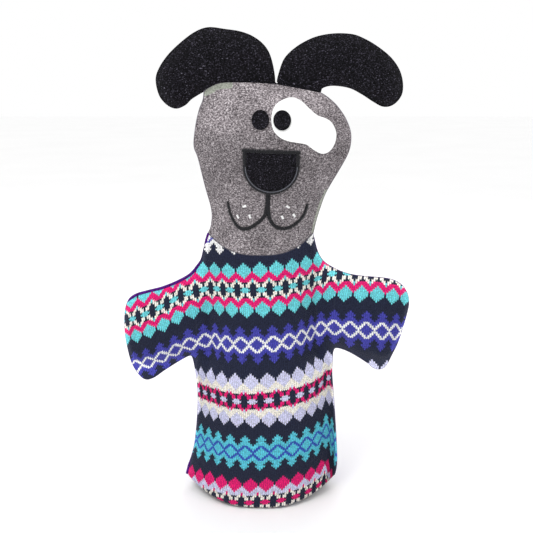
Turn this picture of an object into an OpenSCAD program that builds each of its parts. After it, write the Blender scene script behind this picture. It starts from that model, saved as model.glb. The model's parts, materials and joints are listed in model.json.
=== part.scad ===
// Glove puppet of a dog, sewn from felted jumper knit: a patterned body with
// two paws, a grey head with felt features, and two stuffed black felt ears.
// Millimetres. +Z is up and the face looks towards -Y. The origin is the
// centre of the hem opening, at the level of the hem's lowest points.

/* [Body] */
// Half width of the body at the hem
hem_half_width = 54; // [46:1:64]
// Half width of the body at the waist
waist_half_width = 48; // [45:1:58]
// Half width of the chest between the arms
chest_half_width = 41; // [36:1:50]
// Half width of the body at the neck
neck_half_width = 37; // [31:1:45]
// Half depth of the body at the hem
hem_half_depth = 39; // [30:1:46]
// Half depth of the body at the waist
waist_half_depth = 37; // [28:1:42]
// Half depth of the chest between the arms
chest_half_depth = 24; // [21:1:30]
// Half depth of the body at the neck
neck_half_depth = 16.5; // [15:0.5:20]
// Height from the side seam's lower end to the armpit
skirt_length = 91; // [70:1:130]
// Height from the armpit to the shoulder point
arm_hole_height = 61; // [50:1:75]
// Height from the shoulder point to the top of the body's neck edge
neck_rise = 14; // [10:1:20]
// How much lower the hem is at the middle than at the side seams
hem_drop = 10; // [0:1:16]
// Thickness of the felted jumper knit
cloth = 1.8; // [1.2:0.1:2.4]
// Height of the turned-up hem inside
turn_up = 14; // [8:1:20]
// Sideways place of the middle of the neck
neck_x = -2; // [-5:0.5:5]

/* [Head] */
// Height of the head from its lower edge to its top seam
head_height = 105; // [84:1:126]
// Half width of the head at its widest
head_half_width = 52; // [44:1:60]
// Half width of the head's top seam
head_top_half_width = 31; // [26:1:36]
// Half depth of the head at its fullest
head_half_depth = 19; // [16:0.5:23]
// Half depth of the head just below the ears
head_top_half_depth = 3.4; // [3:0.1:5]
// Sideways place of the head's widest part
head_x = 4; // [-6:0.5:6]
// Thickness of the felted wool
felt = 2; // [1.4:0.1:2.4]

/* [Arms] */
// Reach of the left arm from its shoulder crease
left_arm_length = 57; // [46:1:70]
// Reach of the right arm from its shoulder crease
right_arm_length = 57; // [46:1:70]
// How far the left paw hangs below the level of its shoulder
left_arm_droop = 19; // [8:1:30]
// How far the right paw hangs below the level of its shoulder
right_arm_droop = 8; // [0:1:24]
// Height of the left paw's end
left_paw_height = 58; // [44:1:66]
// Height of the right paw's end
right_paw_height = 63; // [46:1:70]
// Half depth of a paw at its fullest
paw_half_depth = 10.5; // [9:0.5:13]
// Half depth of an arm at its shoulder crease
arm_root_half_depth = 6; // [5:0.5:7]

/* [Ears] */
// Rise of the left ear above the head's top seam
left_ear_rise = 35; // [28:1:42]
// Rise of the right ear above the head's top seam
right_ear_rise = 31; // [24:1:38]
// Reach of the left ear outwards from the inner end of its seam
left_ear_reach = 78; // [62:1:92]
// Reach of the right ear outwards from the inner end of its seam
right_ear_reach = 83; // [66:1:98]
// Width of an ear's seam along the top of the head
ear_base = 27; // [20:1:32]
// How far an ear's lobe hangs below its seam
ear_hang = 16; // [12:0.5:20]
// Half thickness of a stuffed ear
ear_half_depth = 7; // [5:0.5:9]
// Thickness of the ear felt
ear_felt = 1.4; // [1:0.1:2]

/* [Face] */
// Thickness of the felt of the eyes, the nose and the eye patch
face_felt = 1.2; // [0.8:0.1:2]
// Radius of an eye
eye_radius = 6.3; // [4.5:0.1:7]
// Distance between the middles of the eyes
eye_spacing = 14.2; // [13:0.1:18]
// Height of the eyes above the head's lower edge
eye_height = 82.5; // [74:0.5:84]
// Width of the nose
nose_width = 34; // [26:1:38]
// Height of the nose
nose_height = 29; // [22:1:32]
// Width of the satin stitching round the nose
satin_width = 2.4; // [1.5:0.1:3]
// Height of the stitching above the felt
satin_height = 0.9; // [0.5:0.1:1.4]
// Width of the mouth as a share of the head's lower edge
mouth_share = 0.76; // [0.6:0.02:0.8]
// Length of a whisker stitch
whisker_stitch = 2.4; // [1.5:0.1:3]

/* [Fits] */
// Thickness of the stitched seam between two panels
seam = 0.6; // [0.4:0.1:1]
// Clearance between two pieces that move against each other
joint_clearance = 0.9; // [0.6:0.1:1.2]
// Clearance under a piece that is sewn flat onto another
lay_gap = 0.15; // [0.1:0.05:0.3]

/* [Hidden] */

// Heights of the body, from the side seam's lower end upwards
side_foot = hem_drop;
armpit = side_foot + skirt_length;
shoulder = armpit + arm_hole_height;
neck_edge = shoulder + neck_rise;
// The neck hinge is far enough above the body's edge for the head to nod past it
neck_gap = 6;
neck_axis = neck_edge + neck_gap;
head_top = neck_axis + head_height;
// Half widths and depths of what fits inside the body's neck edge
head_low_half_width = neck_half_width - cloth - joint_clearance;
head_low_half_depth = neck_half_depth - cloth - joint_clearance;
// The arm's hinge line, just outside the chest
arm_axis = chest_half_width + 1;
// Room beside the arm's open end, so that it turns in the arm hole without touching
arm_turn_room = 3.2 * joint_clearance;
arm_hole_half = arm_root_half_depth + arm_turn_room;
// How far the arm's root stays above the armpit and below the shoulder point
arm_foot_room = 4;
arm_top_room = 3;
arm_low = armpit + arm_foot_room;
arm_high = shoulder - arm_top_room;
colours = ["mediumpurple", "indigo", "gray", "black", "white", "dimgray"];
// Facets between two sections along a shell, and across one, on each kind of piece
steps_along = 3;
chest_steps_along = 4;
neck_steps_along = 2;
ear_steps_along = 2;
steps_across = 16;
arm_steps_across = 12;
head_steps_across = 18;
ear_steps_across = 10;

// ---- Curves and shells ----

// A point of the smooth curve through a list of values, at v from 0 to 1
function blend4(a, b, c, d, t) = 0.5 * (2 * b + (c - a) * t + (2 * a - 5 * b + 4 * c - d) * t * t
    + (3 * b - a - 3 * c + d) * t * t * t);
function curve_at(keys, v) = let (
    last = len(keys) - 1,
    i = min(floor(v * last), last - 1),
    t = v * last - i
) blend4(keys[max(i - 1, 0)], keys[i], keys[i + 1], keys[min(i + 2, last)], t);
function curve(keys, per) = let (n = (len(keys) - 1) * per)
    [for (i = [0 : n]) curve_at(keys, i / n)];

// A section is [x1, z1, x2, z2, half depth, drop of its middle]: the two ends
// of the section on the seam plane, and how far the cloth stands off it.
// Its arc starts at the angle that leaves an opening of half width hole. At the
// end of a lobe a lining is narrower than its inset, so it keeps a least size.
tip_least = 0.3;
function arc_points(s, side, inset, hole, steps) = let (
    p = [s[0], s[1]],
    q = [s[2], s[3]],
    mid = (p + q) / 2,
    reach = max(norm(q - p) / 2 - inset, tip_least),
    along = (q - p) / norm(q - p),
    depth = max(s[4] - seam / 2 - inset, tip_least),
    start = hole > 0 ? asin((hole - seam / 2) / (s[4] - seam / 2)) : 0
) [for (k = [0 : steps]) let (
    a = start + (180 - 2 * start) * k / steps,
    u = -cos(a)
) [mid.x + along.x * reach * u, side * (seam / 2 + depth * sin(a)),
    mid.y + along.y * reach * u - s[5] * sin(a) * sin(a)]];

function quad(a, b, c, d, flip) = flip ? [[c, b, a], [d, c, a]] : [[a, b, c], [a, c, d]];
function shell_faces(n, m, flip) = let (
    w = m + 1,
    inner = (n + 1) * w
) [
    for (i = [0 : n - 1]) for (j = [0 : m - 1]) let (a = i * w + j)
        for (t = quad(a, a + 1, a + w + 1, a + w, flip)) t,
    for (i = [0 : n - 1]) for (j = [0 : m - 1]) let (a = inner + i * w + j)
        for (t = quad(a, a + w, a + w + 1, a + 1, flip)) t,
    for (i = [0 : n - 1]) let (a = i * w, b = i * w + m)
        for (t = concat(quad(a, a + w, inner + a + w, inner + a, flip),
            quad(b, inner + b, inner + b + w, b + w, flip))) t,
    for (j = [0 : m - 1]) let (a = j, b = n * w + j)
        for (t = concat(quad(a, inner + a, inner + a + 1, a + 1, flip),
            quad(b, b + 1, inner + b + 1, inner + b, flip))) t
];

// A shell between the arcs of outer sections and of inner ones, side -1 in front
module shell(outer, inner, side, inset, hole_list, steps) {
    n = len(outer) - 1;
    points = [
        for (i = [0 : n]) each arc_points(outer[i], side, inset[0], hole_list[i], steps),
        for (i = [0 : n]) each arc_points(inner[i], side, inset[1], hole_list[i], steps)
    ];
    polyhedron(points = points, faces = shell_faces(n, steps, side < 0), convexity = 8);
}

function no_holes(sections) = [for (s = sections) 0];

// Sections of a shell that closes at its far end: the inner ones stop short of it
function closing(keys, per, wall) = let (
    n = (len(keys) - 1) * per,
    first = curve_at(keys, 0),
    last = curve_at(keys, 1),
    far = norm([last[0] - first[0], last[1] - first[1]]),
    share = 1 - 1.3 * wall / far
) [for (i = [0 : n]) curve_at(keys, share * i / n)];

// The flat stitched strip between two panels, following one or both of their edges
module seam_strip(outer, inner, inset) {
    function step(s, d) = let (across = [s[2] - s[0], s[3] - s[1]])
        min(d, norm(across) / 2 - tip_least) * across / norm(across);
    function low(s, d) = [s[0], s[1]] + step(s, d);
    function high(s, d) = [s[2], s[3]] - step(s, d);
    n = len(outer) - 1;
    outline = concat([for (s = outer) low(s, inset[0])], [for (i = [n : -1 : 0]) high(outer[i], inset[0])],
        [for (s = inner) high(s, inset[1])], [for (i = [n : -1 : 0]) low(inner[i], inset[1])]);
    rotate([90, 0, 0]) linear_extrude(seam, center = true) polygon(outline);
}
module edge_strip(sections, inset, right) {
    function point(s, d) = right ? [s[2] - d, s[3]] : [s[0] + d, s[1]];
    rotate([90, 0, 0]) linear_extrude(seam, center = true)
        polygon(concat([for (s = sections) point(s, 0)],
            [for (i = [len(sections) - 1 : -1 : 0]) point(sections[i], inset)]));
}

// ---- Body ----

function body_key(x, half, z, depth, drop) = [x - half, z, x + half, z, depth, drop];
// Share of the skirt's length at its second section, just above the turned-up hem
turn_up_share = 0.15;
skirt_keys = [
    body_key(0, hem_half_width, side_foot, hem_half_depth, hem_drop),
    body_key(0, hem_half_width - 1.5, side_foot + skirt_length * turn_up_share,
        hem_half_depth - 0.5, hem_drop * 0.8),
    body_key(0, waist_half_width + 1, side_foot + skirt_length * 0.4,
        waist_half_depth + 1.5, hem_drop * 0.45),
    body_key(0, waist_half_width, side_foot + skirt_length * 0.7, waist_half_depth, hem_drop * 0.15),
    body_key(0, waist_half_width, armpit - 3, (waist_half_depth + chest_half_depth) / 2 + 1, 0)
];
chest_keys = [
    body_key(0, chest_half_width + 0.5, arm_low - 1, chest_half_depth + 4, 0),
    body_key(0, chest_half_width, armpit + arm_hole_height * 0.5, chest_half_depth, 0),
    body_key(neck_x * 0.5, chest_half_width - 1, shoulder - 4, neck_half_depth + 3, 0)
];
neck_keys = [
    body_key(neck_x, neck_half_width + 1, shoulder + neck_rise * 0.4, neck_half_depth + 1, 0),
    body_key(neck_x, neck_half_width, neck_edge, neck_half_depth, 0)
];
skirt_sections = curve(skirt_keys, steps_along);
chest_sections = curve(chest_keys, chest_steps_along);
neck_sections = curve(neck_keys, neck_steps_along);
body_sections = concat(skirt_sections, chest_sections, neck_sections);
body_holes = concat(no_holes(skirt_sections), [for (s = chest_sections) arm_hole_half],
    no_holes(neck_sections));

module body_panel(side) {
    shell(body_sections, body_sections, side, [0, cloth], body_holes, steps_across);
}
module body_front() { color(colours[0]) body_panel(-1); }
module body_back() { color(colours[1]) body_panel(1); }

// The hem is folded up inside and lies against the panel
function skirt_at(height) = curve_at(skirt_keys,
    height / (skirt_length * turn_up_share) / (len(skirt_keys) - 1));
turn_up_steps = 4;
function hem_sections(height) = [for (i = [0 : turn_up_steps]) skirt_at(height * i / turn_up_steps)];
module turn_up_panel(side) {
    layers = hem_sections(turn_up);
    inner_face = cloth + lay_gap;
    shell(layers, layers, side, [inner_face, inner_face + cloth], no_holes(layers), steps_across);
}
module hem_turn_up_front() { color(colours[0]) turn_up_panel(-1); }
module hem_turn_up_back() { color(colours[1]) turn_up_panel(1); }

// A line of thread that holds the top of the turned-up hem, inside
module hem_stitching() {
    thread = 0.7;
    foot = turn_up - 3;
    line = [for (height = [foot, foot + thread]) skirt_at(height)];
    inner_face = 2 * cloth + 2 * lay_gap;
    color(colours[5]) for (side = [-1, 1])
        shell(line, line, side, [inner_face, inner_face + thread], no_holes(line), steps_across);
}

module side_seam(right) {
    edge_strip(skirt_sections, cloth, right);
    edge_strip(neck_sections, cloth, right);
}
module left_side_seam() { color(colours[1]) side_seam(false); }
module right_side_seam() { color(colours[1]) side_seam(true); }

// The stitched edge where the head's cloth joins the body, on top of the body's neck edge
module neck_seam() {
    height = 1;
    foot = neck_edge + lay_gap;
    line = [for (z = [foot, foot + height]) body_key(neck_x, neck_half_width, z, neck_half_depth, 0)];
    color(colours[5]) for (side = [-1, 1])
        shell(line, line, side, [0, cloth], no_holes(line), steps_across);
}

// ---- Arms, made on the right-hand side ----

// Upper and lower edges of an arm from its shoulder crease to the end of its paw
function arm_keys(length, droop, paw) = let (
    tip = arm_axis + length,
    middle = (arm_high + arm_low) / 2 - droop + 4,
    top = middle + paw / 2,
    foot = middle - paw / 2,
    fall = arm_high - top,
    lift = arm_low - foot
) [
    [arm_axis, arm_high, arm_axis, arm_low, arm_root_half_depth, 0],
    [arm_axis + length * 0.17, arm_high - fall * 0.35, arm_axis + length * 0.19, arm_low - lift * 0.12,
        arm_root_half_depth + 2, 0],
    [arm_axis + length * 0.45, arm_high - fall * 0.6, arm_axis + length * 0.43, arm_low - lift * 0.5,
        paw_half_depth - 0.5, 0],
    [tip - length * 0.25, top + 2, tip - length * 0.3, foot + 2, paw_half_depth, 0],
    [tip - length * 0.09, top - 3, tip - length * 0.16, foot + 3, paw_half_depth * 0.8, 0],
    [tip - length * 0.015, top - paw * 0.2, tip - length * 0.06, foot + paw * 0.22,
        paw_half_depth * 0.5, 0],
    [tip, middle + 1, tip, middle - 2, 1, 0]
];
// An arm's size is [length, droop, height of the paw's end]
left_arm = [left_arm_length, left_arm_droop, left_paw_height];
right_arm = [right_arm_length, right_arm_droop, right_paw_height];
function arm_face(size) = curve(arm_keys(size[0], size[1], size[2]), steps_along);
function arm_lining(size) = curve(arm_keys(size[0] - cloth, size[1], size[2]), steps_along);
module arm_panel(size, side) {
    shell(arm_face(size), arm_lining(size), side, [0, cloth], no_holes(arm_face(size)),
        arm_steps_across);
}
module arm_seam(size) { seam_strip(arm_face(size), arm_lining(size), [0, cloth]); }
module left_arm_front() { color(colours[0]) mirror([1, 0, 0]) arm_panel(left_arm, -1); }
module left_arm_back() { color(colours[1]) mirror([1, 0, 0]) arm_panel(left_arm, 1); }
module left_arm_seam() { color(colours[1]) mirror([1, 0, 0]) arm_seam(left_arm); }
module right_arm_front() { color(colours[0]) arm_panel(right_arm, -1); }
module right_arm_back() { color(colours[1]) arm_panel(right_arm, 1); }
module right_arm_seam() { color(colours[1]) arm_seam(right_arm); }

// ---- Head ----

function head_key(share, x, half, depth) = [x - half, neck_axis + head_height * share,
    x + half, neck_axis + head_height * share, depth, 0];
head_keys = [
    head_key(0, neck_x, head_low_half_width, head_low_half_depth),
    head_key(0.17, neck_x * 0.5, head_low_half_width + 2, head_half_depth - 3),
    head_key(0.37, head_x * 0.3, head_half_width - 10, head_half_depth),
    head_key(0.56, head_x * 0.9, head_half_width - 1.5, head_half_depth),
    head_key(0.69, head_x, head_half_width - 0.5, head_half_depth - 2.5),
    head_key(0.83, head_x * 0.6, (head_half_width + head_top_half_width) / 2 + 5, head_half_depth * 0.6),
    head_key(0.93, 0, head_top_half_width + 9, head_half_depth * 0.38),
    head_key(1, 0, head_top_half_width, head_top_half_depth)
];
head_sections = curve(head_keys, steps_along);
head_inner = closing(head_keys, steps_along, felt * 1.3);

module head_panel(side) {
    shell(head_sections, head_inner, side, [0, felt], no_holes(head_sections), head_steps_across);
}
module head_front() { color(colours[2]) head_panel(-1); }
module head_back() { color(colours[2]) head_panel(1); }
module head_seam() { color(colours[5]) seam_strip(head_sections, head_inner, [0, felt]); }

// Depth of the head's front at a place, and pieces that lie on it
function head_section(z, low = 0, high = 1, tries = 18) = let (
    v = (low + high) / 2,
    s = curve_at(head_keys, v)
) tries == 0 ? s : s[1] < z ? head_section(z, v, high, tries - 1) : head_section(z, low, v, tries - 1);
function head_y(p) = let (
    s = head_section(p.y),
    half = (s[2] - s[0]) / 2,
    u = max(-1, min(1, (p.x - (s[0] + s[2]) / 2) / half))
) -(seam / 2 + (s[4] - seam / 2) * sqrt(1 - u * u));
function on_head(p, lift) = [p.x, head_y(p) - lift, p.y];

// A flat piece of any rounded outline, laid on the head
module felt_piece(outline, middle, lift, thick) {
    rings = 3;
    n = len(outline);
    function layer(rise) = [on_head(middle, rise), for (r = [1 : rings]) for (p = outline)
        on_head(middle + (p - middle) * r / rings, rise)];
    count = 1 + rings * n;
    function at(r, k) = r == 0 ? 0 : 1 + (r - 1) * n + (k % n);
    tops = [for (k = [0 : n - 1]) each [
        [at(0, 0), at(1, k + 1), at(1, k)],
        for (r = [1 : rings - 1]) each [[at(r, k), at(r, k + 1), at(r + 1, k + 1)],
            [at(r, k), at(r + 1, k + 1), at(r + 1, k)]]]];
    lows = [for (f = tops) [f[2] + count, f[1] + count, f[0] + count]];
    sides = [for (k = [0 : n - 1]) each let (a = at(rings, k), b = at(rings, k + 1))
        [[a, b, b + count], [a, b + count, a + count]]];
    polyhedron(points = concat(layer(lift + thick), layer(lift)), faces = concat(tops, lows, sides),
        convexity = 6);
}

// A line of stitching along a path on the head
module stitched_line(path, width, lift, thick) {
    last = len(path) - 1;
    function heading(i) = let (d = path[min(i + 1, last)] - path[max(i - 1, 0)]) d / norm(d);
    points = [for (i = [0 : last]) let (h = heading(i), out = [-h.y, h.x] * width / 2)
        each [on_head(path[i] + out, lift), on_head(path[i] - out, lift),
            on_head(path[i] - out, lift + thick), on_head(path[i] + out, lift + thick)]];
    faces = [[3, 2, 1, 0], [for (k = [0 : 3]) last * 4 + k],
        for (i = [0 : last - 1]) for (k = [0 : 3]) let (a = i * 4 + k, b = i * 4 + (k + 1) % 4)
            each [[b + 4, a + 4, a], [b, b + 4, a]]];
    polyhedron(points = points, faces = faces, convexity = 6);
}

function ellipse(middle, rx, rz, n) = [for (k = [0 : n - 1]) middle + [rx * cos(360 * k / n),
    rz * sin(360 * k / n)]];
function closed_curve(keys, per) = let (n = len(keys))
    [for (i = [0 : n - 1]) for (j = [0 : per - 1])
        blend4(keys[(i + n - 1) % n], keys[i], keys[(i + 1) % n], keys[(i + 2) % n], j / per)];

eye_z = neck_axis + eye_height;
eyes_middle_x = head_x - 0.9;
left_eye_at = [eyes_middle_x - eye_spacing / 2, eye_z];
right_eye_at = [eyes_middle_x + eye_spacing / 2, eye_z];
eye_grow = eye_radius + 1;

// The peanut-shaped white patch: a small lobe under the right eye, a big one beside it
patch_outline = closed_curve([
    right_eye_at + [-1, -11], right_eye_at + [9, -14.5], right_eye_at + [19, -18],
    right_eye_at + [29, -21], right_eye_at + [36, -10], right_eye_at + [31, -1],
    right_eye_at + [19, 6.5], right_eye_at + [8, 14], right_eye_at + [-1, 10.5],
    right_eye_at + [-eye_grow, -1]
], 4);
module eye_patch() {
    color(colours[4]) felt_piece(patch_outline, right_eye_at + [15, -4], lay_gap, face_felt);
}
module left_eye() {
    color(colours[3]) felt_piece(ellipse(left_eye_at, eye_radius - 0.2, eye_radius + 0.6, 24), left_eye_at,
        lay_gap, face_felt);
}
module right_eye() {
    color(colours[3]) felt_piece(ellipse(right_eye_at, eye_radius, eye_radius + 0.6, 24), right_eye_at,
        2 * lay_gap + face_felt, face_felt);
}

// The nose is a rounded U, with satin stitching round its edge
nose_at = [eyes_middle_x, eye_z - 19.5];
function nose_edge(grow) = let (half = nose_width / 2 + grow, low = -nose_height - grow) [
    nose_at + [-half, 0], nose_at + [-half, low * 0.35],
    for (a = [10 : 10 : 170]) nose_at + [-half * cos(a), low * 0.5 + (low * 0.5) * sin(a)],
    nose_at + [half, low * 0.35], nose_at + [half, 0]
];
nose_top_steps = 8;
module nose() {
    top = [for (k = [nose_top_steps - 1 : -1 : 1])
        nose_at + [nose_width * (k / nose_top_steps - 0.5), 0]];
    color(colours[3]) felt_piece(concat(nose_edge(0), top), nose_at + [0, -nose_height * 0.45], lay_gap,
        face_felt);
}
module nose_stitching() {
    middle_of_line = satin_width / 2 + lay_gap;
    edge = nose_edge(middle_of_line);
    end = nose_width / 2 + satin_width;
    color(colours[5]) {
        stitched_line(edge, satin_width, lay_gap, face_felt + satin_height);
        stitched_line([for (k = [0 : nose_top_steps])
            nose_at + [end * (2 * k / nose_top_steps - 1), middle_of_line]],
            satin_width, lay_gap, face_felt + satin_height);
    }
}

// The mouth: a short upright line and a curve to each side of it
mouth_top = nose_at + [0, -nose_height - 1.5 * satin_width];
mouth_fork = mouth_top + [0, -8];
mouth_reach = mouth_share * head_low_half_width;
module mouth_stitching() {
    color(colours[5]) {
        stitched_line([for (k = [0 : 4]) mouth_top + (mouth_fork - mouth_top) * k / 4], satin_width + 0.4,
            lay_gap, satin_height);
        for (side = [-1, 1]) stitched_line([for (a = [12 : 14 : 180])
            mouth_fork + [side * (mouth_reach / 2 * (1 - cos(a)) + 1.2), -13 * sin(a) + 4.5 * pow(a / 180, 3)
                - 0.6]],
            satin_width - 0.2, lay_gap, satin_height);
    }
}
module whisker_stitches() {
    // Each place is a share of the mouth's reach, and a height above its fork
    color(colours[4]) for (side = [-1, 1]) for (place = [[0.54, 2], [0.69, -5.5], [0.4, -5.5]])
        let (middle = mouth_fork + [side * mouth_reach * place.x, place.y])
            felt_piece(ellipse(middle, whisker_stitch / 2, whisker_stitch * 0.36, 10), middle,
                lay_gap, satin_height * 0.8);
}

// ---- Ears, made on the right-hand side ----

// Half depth of an ear at its seam: two layers of felt. It tips about the seam's
// own line, so the seam lies more than this above the head.
ear_foot_half_depth = ear_felt + seam / 2;
ear_foot = head_top + ear_foot_half_depth + joint_clearance / 2;
// Inner and outer edges of an ear from its seam round to the end of its lobe
function ear_keys(inner_x, rise, reach, hang) = let (top = ear_foot + rise, h = ear_half_depth) [
    [inner_x, ear_foot, inner_x + ear_base, ear_foot, ear_foot_half_depth, 0],
    [inner_x + 1, ear_foot + rise * 0.3, inner_x + ear_base + 2, ear_foot + 1, h * 0.65, 0],
    [inner_x + reach * 0.1, ear_foot + rise * 0.62, inner_x + reach * 0.44, ear_foot - hang * 0.05,
        h * 0.9, 0],
    [inner_x + reach * 0.3, top - rise * 0.12, inner_x + reach * 0.52, ear_foot - hang * 0.12, h, 0],
    [inner_x + reach * 0.52, top, inner_x + reach * 0.62, ear_foot - hang * 0.28, h, 0],
    [inner_x + reach * 0.76, top - rise * 0.2, inner_x + reach * 0.7, ear_foot - hang * 0.5, h, 0],
    [inner_x + reach * 0.94, top - rise * 0.56, inner_x + reach * 0.77, ear_foot - hang * 0.74, h, 0],
    [inner_x + reach, top - rise, inner_x + reach * 0.83, ear_foot - hang * 0.91, h * 0.8, 0],
    [inner_x + reach * 0.985, ear_foot - hang * 0.56, inner_x + reach * 0.87, ear_foot - hang * 0.98,
        h * 0.5, 0],
    [inner_x + reach * 0.95, ear_foot - hang * 0.86, inner_x + reach * 0.92, ear_foot - hang * 0.96,
        1, 0]
];
// An ear's size is [inner end of its seam, rise, reach]; a lining is smaller by its wall
left_ear = [-4.5, left_ear_rise, left_ear_reach];
right_ear = [7.5, right_ear_rise, right_ear_reach];
function ear_layer(size, wall) = curve(
    ear_keys(size[0], size[1], size[2] - wall, ear_hang - wall), ear_steps_along);
module ear_panel(size, side) {
    shell(ear_layer(size, 0), ear_layer(size, ear_felt), side, [0, ear_felt],
        no_holes(ear_layer(size, 0)), ear_steps_across);
}
module ear_seam(size) { seam_strip(ear_layer(size, 0), ear_layer(size, ear_felt), [0, ear_felt]); }
// The wadding fills the ear inside its felt
module ear_filling(size) {
    core = ear_layer(size, 2.5 * ear_felt);
    n = len(core) - 1;
    w = 2 * ear_steps_across;
    inset = ear_felt + 2 * lay_gap;
    function loop(s) = let (
        front = arc_points(s, -1, inset, 0, ear_steps_across),
        back = arc_points(s, 1, inset, 0, ear_steps_across)
    ) concat([[front[0].x, 0, front[0].z]], [for (k = [1 : ear_steps_across - 1]) front[k]],
        [[back[ear_steps_across].x, 0, back[ear_steps_across].z]],
        [for (k = [ear_steps_across - 1 : -1 : 1]) back[k]]);
    points = [for (s = core) each loop(s)];
    faces = [[for (k = [0 : w - 1]) k], [for (k = [w - 1 : -1 : 0]) n * w + k],
        for (i = [0 : n - 1]) for (k = [0 : w - 1]) let (a = i * w + k, b = i * w + (k + 1) % w)
            each [[b, a, a + w], [b, a + w, b + w]]];
    polyhedron(points = points, faces = faces, convexity = 6);
}
module left_ear_front() { color(colours[3]) mirror([1, 0, 0]) ear_panel(left_ear, -1); }
module left_ear_back() { color(colours[3]) mirror([1, 0, 0]) ear_panel(left_ear, 1); }
module left_ear_filling() { color(colours[4]) mirror([1, 0, 0]) ear_filling(left_ear); }
module left_ear_seam() { color(colours[5]) mirror([1, 0, 0]) ear_seam(left_ear); }
module right_ear_front() { color(colours[3]) ear_panel(right_ear, -1); }
module right_ear_back() { color(colours[3]) ear_panel(right_ear, 1); }
module right_ear_filling() { color(colours[4]) ear_filling(right_ear); }
module right_ear_seam() { color(colours[5]) ear_seam(right_ear); }

body_front();
body_back();
hem_turn_up_front();
hem_turn_up_back();
hem_stitching();
left_side_seam();
right_side_seam();
neck_seam();
left_arm_front();
left_arm_back();
left_arm_seam();
right_arm_front();
right_arm_back();
right_arm_seam();
head_front();
head_back();
head_seam();
eye_patch();
left_eye();
right_eye();
nose();
nose_stitching();
mouth_stitching();
whisker_stitches();
left_ear_front();
left_ear_back();
left_ear_filling();
left_ear_seam();
right_ear_front();
right_ear_back();
right_ear_filling();
right_ear_seam();
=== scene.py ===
"""Looks of a glove puppet: a dog sewn from felted knit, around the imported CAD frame."""
import json
import math

import bpy
import numpy as np
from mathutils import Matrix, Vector


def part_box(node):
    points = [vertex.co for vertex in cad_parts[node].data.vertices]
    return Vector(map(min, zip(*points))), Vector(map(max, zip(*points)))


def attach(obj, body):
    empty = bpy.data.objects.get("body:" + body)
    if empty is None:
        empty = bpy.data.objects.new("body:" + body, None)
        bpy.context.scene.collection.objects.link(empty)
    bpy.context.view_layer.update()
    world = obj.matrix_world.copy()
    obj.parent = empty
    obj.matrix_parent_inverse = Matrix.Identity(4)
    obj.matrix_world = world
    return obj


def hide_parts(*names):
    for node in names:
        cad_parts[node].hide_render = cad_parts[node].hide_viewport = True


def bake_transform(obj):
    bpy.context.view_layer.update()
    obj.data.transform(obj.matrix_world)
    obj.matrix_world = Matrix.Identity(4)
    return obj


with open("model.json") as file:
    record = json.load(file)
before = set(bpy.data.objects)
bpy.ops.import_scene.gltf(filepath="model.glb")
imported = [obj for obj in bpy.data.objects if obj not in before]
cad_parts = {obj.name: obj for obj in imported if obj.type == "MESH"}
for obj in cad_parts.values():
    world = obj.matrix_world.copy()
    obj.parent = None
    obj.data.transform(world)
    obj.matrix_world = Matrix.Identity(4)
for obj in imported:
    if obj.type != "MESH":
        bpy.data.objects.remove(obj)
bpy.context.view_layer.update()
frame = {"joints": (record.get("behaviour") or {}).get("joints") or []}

MM = 0.001
rng = np.random.default_rng(7)

# ---- Places that come from the frame, in millimetres ----


def joint_place(name):
    joint = next(j for j in frame["joints"] if j["name"] == name)
    return np.array(joint["pos_m"]) / MM


EAR_AXIS_Z = joint_place("left_ear_flop")[2]
HEM_DEPTH = -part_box("body_front")[0][1] / MM

# ---- Camera, light and floor ----

VIEW_DISTANCE = 0.620
VIEW_ELEVATION = math.radians(12)
VIEW_TARGET = Vector((0, 0, 0.163))
VIEW_LENS = 60.7


def add_camera():
    data = bpy.data.cameras.new("camera")
    data.lens = VIEW_LENS
    data.sensor_width = 36
    camera = bpy.data.objects.new("camera", data)
    bpy.context.scene.collection.objects.link(camera)
    away = Vector((0, -math.cos(VIEW_ELEVATION), math.sin(VIEW_ELEVATION)))
    camera.location = VIEW_TARGET + VIEW_DISTANCE * away
    camera.rotation_euler = away.to_track_quat("Z", "Y").to_euler()
    bpy.context.scene.camera = camera


def add_area_light(name, place, size, power):
    data = bpy.data.lights.new(name, "AREA")
    data.shape = "DISK"
    data.size = size
    data.energy = power
    light = bpy.data.objects.new(name, data)
    bpy.context.scene.collection.objects.link(light)
    light.location = place
    light.rotation_euler = (Vector(place) - VIEW_TARGET).to_track_quat("Z", "Y").to_euler()


def add_studio():
    scene = bpy.context.scene
    scene.view_settings.view_transform = "Standard"
    world = bpy.data.worlds.new("studio")
    world.use_nodes = True
    world.node_tree.nodes["Background"].inputs["Color"].default_value = (1, 1, 1, 1)
    world.node_tree.nodes["Background"].inputs["Strength"].default_value = 1.0
    scene.world = world
    add_area_light("key_light", (-0.5, -0.7, 1.2), 0.6, 5)
    add_area_light("rim_light", (0.2, 1.0, 0.9), 0.8, 3)
    reach = 6.0
    floor = mesh_object("floor", [(-reach, -reach, 0), (reach, -reach, 0), (reach, reach, 0),
                                  (-reach, reach, 0)], [(0, 1, 2, 3)])
    paint(floor, plain_material("pale_floor", "#ffffff", roughness=0.9))


# ---- Meshes ----


def mesh_object(name, points, faces, smooth=True):
    mesh = bpy.data.meshes.new(name)
    mesh.from_pydata([tuple(p) for p in points], [], [tuple(f) for f in faces])
    mesh.update()
    if smooth:
        mesh.polygons.foreach_set("use_smooth", [True] * len(mesh.polygons))
    obj = bpy.data.objects.new(name, mesh)
    bpy.context.scene.collection.objects.link(obj)
    return obj


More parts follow.
